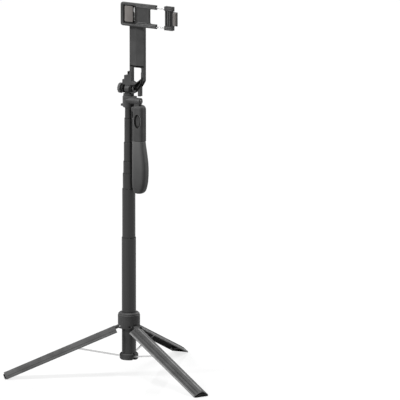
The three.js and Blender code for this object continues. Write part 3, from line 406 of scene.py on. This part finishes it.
def circuit(name):
    """Green board with gold tracks."""
    green, light_green, gold = (20, 70, 44), (30, 92, 58), (150, 128, 66)
    look = Look(name, roughness=0.4)
    look.paint(green, light_green, scale=200.0)
    wander = look.noise(420.0, detail=0.0, stretch=(1, 0.2, 1))
    tracks = look.ramp(wander, [(0.49, 0.0), (0.5, 1.0), (0.52, 0.0)])
    look.over(gold, tracks).vary_gloss(spread=0.08, scale=200.0)
    look.relief(tracks, distance=0.00003)
    look.done()


# The record's material slots
moulded("black_plastic", 58, 67, 0.55)
moulded("dark_plastic", 53, 62, 0.6)
moulded("hub_plastic", 53, 61, 0.5)
anodised("tube_metal", 44, 54, 0.42)
bare_steel("steel", 204, 218)
blackened("black_steel", 52, 66)
rubbery("rubber", 54, 66, 0.8)
rubbery("grey_pad", (104, 100, 98), (115, 111, 108), 0.78, grain=700.0)
# The grip pales towards its top: painted light where light falls on it from above
rubbery("grip_rubber", 52, 59, 0.72, painted_top_light=(0.245, 0.318, 86))
circuit("board")

# Looks told apart from the rest of their slot
# Legs: lighter than the hub plastic, with a stronger painted highlight along their edges
moulded("ribbed_leg", 60, 76, 0.40, edge=120)
# Pale lines: painted highlight along edges of the plate, the jaw and the button's window
moulded("painted_highlight_line", 82, 98, 0.42, edge=120)
# Thumb knob: a lighter copy of the black plastic, painted light on its lit face
moulded("knob_face", 72, 84, 0.5)
rubbery("tip_rubber", 20, 30, 0.8, sheen=0.02)
bare_steel("rod_steel", 150, 172)
moulded("remote_black", 30, 38, 0.45, edge=70, specular=0.3)
moulded("flute_shade", 40, 50, 0.6, specular=0.1)
# Pale crests: painted highlight along the legs' lit ridges
moulded("leg_crest", 104, 128, 0.38, edge=156)
# Deepest black: painted shade in gaps, grooves, slots and hollows; also the colour of the tube bushings and
# of the fixed lip
moulded("black_and_painted_shade", 8, 14, 0.7, edge=22, specular=0.04)

# Nodes that wear such a look, or another slot's
OWN_LOOK = {"clamp_rod_lower": "rod_steel", "clamp_rod_upper": "rod_steel", "pan_base": "black_plastic",
            "sliding_jaw": "dark_plastic", "tilt_knob": "knob_face", "fixed_lip": "black_and_painted_shade",
            "remote_shell": "remote_black"}
for leg_number in LEGS:
    OWN_LOOK["leg_%d" % leg_number] = "ribbed_leg"
    OWN_LOOK["leg_tip_%d" % leg_number] = "tip_rubber"


def dress_nodes():
    for row in frame["record"]["subparts"]:
        materials = frame["nodes"][row["node"]].data.materials
        materials.clear()
        materials.append(LOOKS[OWN_LOOK.get(row["node"], row["material_slot"])])


class Shell:
    """Points and faces of one piece, gathered from several closed forms, in millimetres of the CAD frame."""

    def __init__(self):
        self.points, self.faces = [], []

    def rings(self, rings, closed=False):
        """Skin between rings of equally many points; the first and last are capped unless closed."""
        start, count = len(self.points), len(rings[0])
        for ring in rings:
            self.points += [tuple(point) for point in ring]
        spans = len(rings) if closed else len(rings) - 1
        for k in range(spans):
            low, high = start + k * count, start + (k + 1) % len(rings) * count
            for i in range(count):
                j = (i + 1) % count
                self.faces.append((low + i, low + j, high + j, high + i))
        if not closed:
            last = start + (len(rings) - 1) * count
            self.faces.append(tuple(start + i for i in reversed(range(count))))
            self.faces.append(tuple(last + i for i in range(count)))
        return self

    def turned(self, profile, centre, axis, sides, closed=False):
        """Rings about an axis from [radius, height] pairs."""
        turn = Vector(axis).to_track_quat("Z", "Y")
        rings = [[Vector(centre) + turn @ Vector((x, y, height)) for x, y in circle(radius, radius, sides)]
                 for radius, height in profile]
        return self.rings(rings, closed)

    def head(self, centre, axis, radius, height, recess, depth):
        """A fastener's head with a driver recess given by [angle, radius] corners."""
        turn = Vector(axis).to_track_quat("Z", "Y")

        def outer(share, z):
            return [Vector(centre) + turn @ Vector((cos(a) * radius * share, sin(a) * radius * share, z))
                    for a, _ in recess]

        def inner(share, z):
            return [Vector(centre) + turn @ Vector((cos(a) * r * share, sin(a) * r * share, z))
                    for a, r in recess]

        return self.rings([outer(1, 0), outer(1, height * 0.6), outer(0.86, height),
                           inner(1, height), inner(0.82, height - depth)])

    def bead(self, path, width, height, surface, closed=False):
        """A rounded bead on a face that looks along -Y, along [x, z] points, its foot sunk into the face."""
        path = [Vector(point) for point in path]
        count = len(path)
        rings = []
        for i, here in enumerate(path):
            before = path[i - 1] if closed or i else here
            after = path[(i + 1) % count] if closed or i < count - 1 else here
            a, b = (here - before).normalized(), (after - here).normalized()
            if a.length == 0:
                a = b
            if b.length == 0:
                b = a
            along = (a + b).normalized()
            side = Vector((-along.y, along.x)) / max(0.5, along.dot(b))
            rings.append([(here.x + side.x * width * u, surface - height * v + (BEAD_SUNK if v == 0 else 0),
                           here.y + side.y * width * u) for u, v in BEAD_SECTION])
        return self.rings(rings, closed)

    def prism(self, outline, front, back, bevel=0.0):
        """A slab from an outline of [x, z] points, its front edges eased inwards by bevel."""
        middle = sum((Vector(point) for point in outline), Vector((0, 0))) / len(outline)

        def ring(y, inset):
            places = [Vector(point) + (middle - Vector(point)).normalized() * inset for point in outline]
            return [(place.x, y, place.y) for place in places]

        rings = [ring(back, 0), ring(front + bevel, 0)]
        if bevel:
            rings.append(ring(front, bevel))
        return self.rings(rings)

    def add(self, name, body, slot, look=None, smooth=35.0):
        """Make the piece, riding on a body; edges sharper than smooth degrees stay crisp."""
        mesh = bpy.data.meshes.new(name)
        mesh.from_pydata([Vector(point) * MM for point in self.points], [], self.faces)
        work = bmesh.new()
        work.from_mesh(mesh)
        bmesh.ops.remove_doubles(work, verts=work.verts, dist=WELD)
        bmesh.ops.recalc_face_normals(work, faces=work.faces)
        for face in work.faces:
            face.smooth = True
        for edge in work.edges:
            edge.smooth = len(edge.link_faces) == 2 and edge.calc_face_angle() < radians(smooth)
        work.to_mesh(mesh)
        work.free()
        mesh.materials.append(LOOKS[look or slot])
        piece = bpy.data.objects.new(name, mesh)
        scene.collection.objects.link(piece)
        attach(piece, body)


def circle(wide, tall, steps):
    """Points of a circle or ellipse round the origin."""
    return [(wide * cos(2 * pi * i / steps), tall * sin(2 * pi * i / steps)) for i in range(steps)]


def arc(x, z, radius, start, end, steps=6):
    angles = [radians(start + (end - start) * i / steps) for i in range(steps + 1)]
    return [(x + radius * cos(a), z + radius * sin(a)) for a in angles]


def rectangle(left, bottom, right, top):
    return [(left, bottom), (right, bottom), (right, top), (left, top)]


def cross(reach, half):
    """Corners of a cross recess, as [angle, radius]."""
    tip, lean = (reach ** 2 + half ** 2) ** 0.5, atan2(half, reach)
    recess = []
    for quarter in range(4):
        a = quarter * pi / 2
        recess += [(a - lean, tip), (a, reach), (a + lean, tip), (a + pi / 4, half * 2 ** 0.5)]
    return recess


def corners(node):
    """A node's low and high corners in millimetres."""
    low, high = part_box(node)
    return Vector(low) / MM, Vector(high) / MM


def plate_trim():
    """Rim of the clamp's plate, pale lines on it and on its panel as painted highlight, a black rim round its
    window as painted shade, and screws in its back.
    """
    low, high = corners("clamp_plate")
    front, back = low.y, high.y
    edge, round_off = 1.5, 3.2
    left, right, bottom, top = low.x + edge, high.x - 0.9, low.z + edge, high.z - edge

    def round_the_c(inward):
        lower = arc(left + round_off, bottom + round_off, round_off - inward, 270, 180)
        upper = arc(left + round_off, top - round_off, round_off - inward, 180, 90)
        return [(right, bottom + inward)] + lower + upper + [(right, top - inward)]

    Shell().bead(round_the_c(0), width=1.5, height=0.5, surface=front) \
        .add("plate_rim", "clamp", "black_plastic")
    Shell().bead(round_the_c(1.3), width=0.9, height=0.4, surface=front) \
        .add("plate_inner_line", "clamp", "black_plastic", "painted_highlight_line")

    lip_low, lip_high = corners("fixed_lip")
    gap, turn = 1.2, 1.5
    x0, x1, z0, z1 = lip_low.x - gap, lip_high.x + gap, lip_low.z - gap, lip_high.z + gap
    ring = arc(x1 - turn, z0 + turn, turn, 270, 360, 4) + arc(x1 - turn, z1 - turn, turn, 0, 90, 4)
    ring += arc(x0 + turn, z1 - turn, turn, 90, 180, 4) + arc(x0 + turn, z0 + turn, turn, 180, 270, 4)
    Shell().bead(ring, width=0.8, height=0.3, surface=front, closed=True) \
        .add("plate_window_rim", "clamp", "black_plastic", "black_and_painted_shade")

    rails, panel, screws = Shell(), Shell(), Shell()
    rail_inset, panel_inset, panel_depth, notch = 3.0, 1.4, 0.6, 14.4
    for z in (bottom + rail_inset, top - rail_inset):
        rails.bead([(x1 + 1.6, z), (right - 0.4, z)], width=0.9, height=0.5, surface=front)
    for z in (lip_low.z + panel_inset, lip_high.z - panel_inset):
        panel.bead([(x1 + 3.4, z), (right - notch, z)], width=0.8, height=0.45, surface=front + panel_depth)
    rails.add("plate_rail_lines", "clamp", "black_plastic", "painted_highlight_line")
    panel.add("plate_panel_lines", "clamp", "black_plastic", "painted_highlight_line")
    screw_inset, recess = 2.8, cross(reach=0.8, half=0.2)
    for x in (low.x + 2.9, high.x - 4.2):
        for z in (low.z + screw_inset, high.z - screw_inset):
            screws.head((x, back - 0.1, z), (0, 1, 0), radius=1.5, height=0.8, recess=recess, depth=0.4)
    screws.add("plate_screws", "clamp", "black_steel")


def jaw_trim():
    """Pale lines across the jaw's caps and on the ridges between its grooves as painted highlight, black
    floors in its grooves as painted shade, and ribs along its lip's pad.
    """
    low, high = corners("sliding_jaw")
    lines, floors, ridges, ribs = Shell(), Shell(), Shell(), Shell()
    outer_line, inner_line = 2.0, 4.4
    for z in (low.z + outer_line, low.z + inner_line, high.z - outer_line, high.z - inner_line):
        lines.bead([(low.x + 1.2, z), (high.x - 1.4, z)], width=0.7, height=0.35, surface=low.y)
    # The grooves' X is the CAD's; each ridge lies between two of them
    grooves, cap, groove_floor, ridge_face = (68.78, 71.76, 74.74), 6.1, low.y + 1.8, low.y + 0.5
    for x in grooves:
        floors.bead([(x, low.z + cap), (x, high.z - cap)], width=1.2, height=0.3, surface=groove_floor)
    for left, right in zip(grooves, grooves[1:]):
        x, end = (left + right) / 2, cap + 0.2
        ridges.bead([(x, low.z + end), (x, high.z - end)], width=1.3, height=0.35, surface=ridge_face)
    pad_low, pad_high = corners("jaw_lip_pad")
    pad_inset, sunk = 1.6, 0.12
    for share in (0.28, 0.5, 0.72):
        x = pad_low.x + share * (pad_high.x - pad_low.x)
        path = [(x, pad_low.z + pad_inset), (x, pad_high.z - pad_inset)]
        ribs.bead(path, width=0.6, height=0.3, surface=pad_low.y + sunk)
    lines.add("jaw_cap_lines", "jaw", "black_plastic", "painted_highlight_line")
    floors.add("jaw_groove_floors", "jaw", "black_plastic", "black_and_painted_shade")
    ridges.add("jaw_ridges", "jaw", "black_plastic", "painted_highlight_line")
    ribs.add("jaw_pad_ribs", "jaw_lip", "grey_pad")


def tilt_height():
    """Height of the axis that the arm tilts on."""
    low, high = corners("tilt_bolt")
    return (low.z + high.z) / 2


def arm_shades():
    """Painted shade as thin black pieces: a dark floor of the web, shade on the rail and grooves across the
    arm's front.
    """
    low, high = corners("tilt_arm")
    axis, right, front = tilt_height(), high.x, low.y
    web = [(10.6, axis - 1.9), (14.75, axis + 0.6), (right - 5.2, axis + 9.6),
           (right - 3.8, axis + 15.0), (12.8, axis + 7.6), (10.6, axis + 7.2)]
    Shell().prism(web, front=front + 2.3, back=front + 2.8) \
        .add("arm_web_floor", "arm", "black_plastic", "black_and_painted_shade")

    rail = [(right - 1.85, axis + 18.5), (right - 1.95, axis + 13.6), (right - 4.1, axis + 8.5),
            (right - 7.7, axis + 3.2), (right - 12.2, axis - 0.9)]
    Shell().bead(rail, width=2.3, height=0.16, surface=front + 0.02) \
        .add("arm_rail_shade", "arm", "black_plastic", "black_and_painted_shade")

    grooves = Shell()
    foot, head, proud, sunk, crown = axis + 32.6, axis + 34.5, 0.12, 0.3, 1.29
    sections = []
    for x, drop in ((3.3, crown), ((right + 3.1) / 2, 0.0), (right - 0.2, crown)):
        sections.append([(x, front + drop + y, z) for y, z in rectangle(-proud, foot, sunk, head)])
    grooves.rings(sections)
    step = rectangle(0.7, axis + 22.0, 3.0, axis + 25.0)
    grooves.prism(step, front=front - 0.1, back=front + 0.3, bevel=0.05)
    grooves.add("arm_groove_shade", "arm", "black_plastic", "black_and_painted_shade")


def arm_belly():
    """Black skin under the curved rail, from the fork to the arm's right side: painted shade on the rail's
    underside.
    """
    low, high = corners("tilt_arm")
    axis, right, front, back = tilt_height(), high.x, low.y + 0.15, high.y - 0.15
    start, bend, end = Vector((8.3, axis - 6.3)), Vector((right - 6.4, axis)), Vector((right, axis + 13.4))
    first, steps, proud, sunk = 0.12, 12, 0.1, 0.35
    rings = []
    for k in range(steps + 1):
        t = first + (1 - first) * k / steps
        place = start * (1 - t) ** 2 + bend * (2 * t * (1 - t)) + end * t ** 2
        along = ((bend - start) * (1 - t) + (end - bend) * t).normalized()
        out = Vector((along.y, -along.x))
        skin, deep = place + out * proud, place - out * sunk
        rings.append([(skin.x, front, skin.y), (skin.x, back, skin.y),
                      (deep.x, back, deep.y), (deep.x, front, deep.y)])
    Shell().rings(rings).add("arm_rail_belly", "arm", "black_plastic", "black_and_painted_shade")


def arm_cheek():
    """Painted shadow beside the thumb knob, as a thin dark piece on the fork's cheek."""
    axis, front = tilt_height(), corners("tilt_arm")[0].y
    cheek = rectangle(-8.15, axis - 5.2, -3.9, axis + 5.7)
    Shell().prism(cheek, front=front + 0.95, back=front + 1.3, bevel=0.1) \
        .add("arm_cheek_painted_shadow", "arm", "black_plastic", "black_and_painted_shade")


def arm_ribs():
    """Crossed ribs in the arm's hollow back."""
    low, high = corners("tilt_arm")
    hollow, back = low.y + 3.1, high.y - 0.7
    left_wall, right_wall, first, pitch, half_rise = 4.9, high.x - 1.8, tilt_height() + 46.0, 11.5, 5.2
    half_width, taper = 0.55, 0.7
    ribs = Shell()
    for k in range(4):
        z = first + pitch * k
        for slope in (1, -1):
            ends = Vector((left_wall, z - half_rise * slope)), Vector((right_wall, z + half_rise * slope))
            run = ends[1] - ends[0]
            side = Vector((-run.y, run.x)).normalized() * half_width
            section = ((-1, hollow), (1, hollow), (taper, back), (-taper, back))
            ribs.rings([[(end.x + side.x * u, y, end.y + side.y * u) for u, y in section] for end in ends])
    ribs.add("arm_back_ribs", "arm", "black_plastic")


def knob_trim():
    """Dished cap on the thumb knob."""
    low, high = corners("tilt_knob")
    centre = (low.x, (low.y + high.y) / 2, (low.z + high.z) / 2)
    dish = [(0.1, -0.2), (5.6, -0.2), (5.9, 0.05), (5.6, 0.3), (4.9, 0.32), (4.4, 0.1), (3.2, 0.02),
            (1.6, 0.1), (0.1, 0.16)]
    Shell().turned(dish, centre, (-1, 0, 0), sides=56).add("knob_cap", "knob", "black_plastic")


def button_trim():
    """Rim of the button's oval window, pale as a painted highlight, and the button's shaped face."""
    low, high = corners("remote_button")
    middle = (low + high) / 2

    def ovals(rows, surface, sides=44):
        """Rings round the button from rows of half width, half height and depth."""
        return [[(middle.x + x, surface + y, middle.z + z) for x, z in circle(wide, tall, sides)]
                for wide, tall, y in rows]

    rim = ((5.3, 10.1, 0.6), (5.35, 10.15, 0.06), (5.75, 10.55, -0.03), (6.1, 10.9, 0.08), (6.1, 10.9, 0.6))
    Shell().rings(ovals(rim, corners("handle_frame")[0].y), closed=True) \
        .add("window_rim", "handle", "black_plastic", "painted_highlight_line")
    face = ((3.4, 7.8, 0.2), (3.4, 7.8, -0.25), (3.0, 7.3, -0.5), (2.2, 6.3, -0.42), (0.9, 4.2, -0.22),
            (0.2, 0.6, -0.16))
    Shell().rings(ovals(face, low.y)).add("button_face", "button", "dark_plastic")


def handle_trim():
    """Dark liner of the slot in the handle's side and dark coin slot on the remote's back, both painted
    shade, and the lid on the remote's back.
    """
    wall = corners("handle_frame")[0].x + 1.8
    Shell().prism(rectangle(wall + 0.08, 347.6, wall + 3.3, 356.0), front=-8.95, back=0.65) \
        .add("slot_liner", "handle", "black_plastic", "black_and_painted_shade")

    low, high = corners("remote_cover")
    x, y, z = (low.x + high.x) / 2, high.y, low.z + 8.6
    lid = [(0.1, -0.2), (4.5, -0.2), (4.5, 0.1), (4.2, 0.22), (3.9, 0.1), (0.1, 0.1)]
    Shell().turned(lid, (x, y, z), (0, 1, 0), sides=40).add("remote_cell_lid", "remote", "black_plastic")
    slot = [[(x + u, y + depth, z + v) for u, v in rectangle(-wide, -tall, wide, tall)]
            for wide, tall, depth in ((2.9, 0.45, 0.05), (2.8, 0.35, 0.17))]
    Shell().rings(slot).add("remote_coin_slot", "remote", "dark_plastic", "black_and_painted_shade")


def tube_bushings():
    """Thin friction bushing at the mouth of each tube, round the next tube in."""
    tubes = ["outer_tube"] + ["mast_tube_%d" % i for i in range(1, 6)] + ["mast_neck"]
    bodies = ["column"] + ["tube_%d" % i for i in range(1, 6)]
    for outer, inner, body in zip(tubes, tubes[1:], bodies):
        mouth, top, radius = corners(outer)[1].x, corners(outer)[1].z, corners(inner)[1].x
        profile = [(radius + 0.06, -1.0), (mouth - 0.54, -1.0), (mouth - 0.54, 0.02), (mouth - 0.08, 0.02),
                   (mouth - 0.2, 0.16), (radius + 0.12, 0.16), (radius + 0.06, 0.08)]
        Shell().turned(profile, (0, 0, top), (0, 0, 1), sides=64, closed=True) \
            .add("bushing_of_" + outer, body, "dark_plastic", "black_and_painted_shade")


def leg_trim():
    """Pale crests as painted highlight, dark flutes as painted shade and edges along each leg's outer face, a
    black liner inside and the toe's black end as painted shade in its hollow.
    """
    hinges = {joint["name"]: joint for joint in frame["record"]["behaviour"]["joints"]}
    outer = corners("hub_collar")[1].x
    valley, low_valley, inner = outer - 0.95, outer - 1.3, outer - 2.3
    for number in LEGS:
        knee = Vector(hinges["leg_%d_fold" % number]["pos_m"]) / MM
        turn = Matrix.Rotation(atan2(knee.y, knee.x), 3, "Z") @ Matrix.Rotation(-SPREAD, 3, "Y")

        def posed(radius, angle, z):
            """A point of the leg from its place when folded, about the column's axis."""
            return knee + turn @ Vector((radius * cos(angle) - KNEE_RADIUS, radius * sin(angle), z))

        crests, edges, flutes, liner, toe = Shell(), Shell(), Shell(), Shell(), Shell()
        for shell, share, radius, half_width, proud in (
                (crests, 0.0, outer, 1.0, 0.25), (crests, -0.91, valley, 0.8, 0.3),
                (edges, 0.91, valley, 0.8, 0.3), (flutes, -0.3, valley, 1.9, 0.1),
                (flutes, 0.25, valley, 0.9, 0.1), (flutes, -0.71, low_valley, 0.9, 0.12),
                (flutes, 0.71, low_valley, 0.9, 0.12)):
            angle = HALF_ARC * share
            out = turn @ Vector((cos(angle), sin(angle), 0))
            side = turn @ Vector((-sin(angle), cos(angle), 0))
            rings = []
            for z in sorted(LINE_ENDS + LINE_SHOULDERS, reverse=True):
                lift = LINE_FADE if z in LINE_ENDS else proud
                rings.append([posed(radius, angle, z) + side * half_width * u + out * (lift * v - LINE_SUNK)
                              for u, v in LINE_SECTION])
            shell.rings(rings)
        for sign in (1, -1):
            angles = [radians(sign * a) for a in range(9, 55, 5)]
            strip = [(inner - 0.02, a) for a in angles] + [(inner - 0.14, a) for a in reversed(angles)]
            liner.rings([[posed(radius, a, z) for radius, a in strip] for z in (-13.0, -162.5)])
        angles = [radians(a) for a in range(-54, 55, 9)]
        toe.rings([[posed(inner - 0.1, a, z) for a in angles] for z in (1.0 - LEG_LENGTH, -1.4 - LEG_LENGTH)])
        for shell, name, look in (
                (toe, "leg_toe_%d", "black_and_painted_shade"), (liner, "leg_liner_%d", "black_and_painted_shade"),
                (edges, "leg_edge_%d", "ribbed_leg"), (crests, "leg_crests_%d", "leg_crest"),
                (flutes, "leg_flutes_%d", "flute_shade")):
            shell.add(name % number, "leg_%d" % number, "hub_plastic", look)


def lip_spring():
    """Coil spring on the fixed lip's pin, between its two ears."""
    low, high = corners("fixed_lip_pin")
    turns, steps, wire, mean = 17, 14, 0.27, 1.0
    start, end = low.z + 4.6, low.z + 15.6
    rings = []
    for k in range(turns * steps + 1):
        a = 2 * pi * k / steps
        out = Vector((cos(a), sin(a), 0))
        height = start + (end - start) * k / (turns * steps)
        centre = Vector(((low.x + high.x) / 2, (low.y + high.y) / 2, height))
        rings.append([centre + out * (mean + x) + Vector((0, 0, z)) for x, z in circle(wire, wire, 6)])
    Shell().rings(rings).add("lip_spring", "fixed_lip", "black_steel", smooth=80.0)


add_camera()
for lamp_name, placing in LAMPS.items():
    add_lamp(lamp_name, *placing)
add_world()
add_floor(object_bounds()[0].z)
dress_nodes()
plate_trim()
jaw_trim()
arm_shades()
arm_belly()
arm_cheek()
arm_ribs()
knob_trim()
button_trim()
handle_trim()
tube_bushings()
leg_trim()
lip_spring()
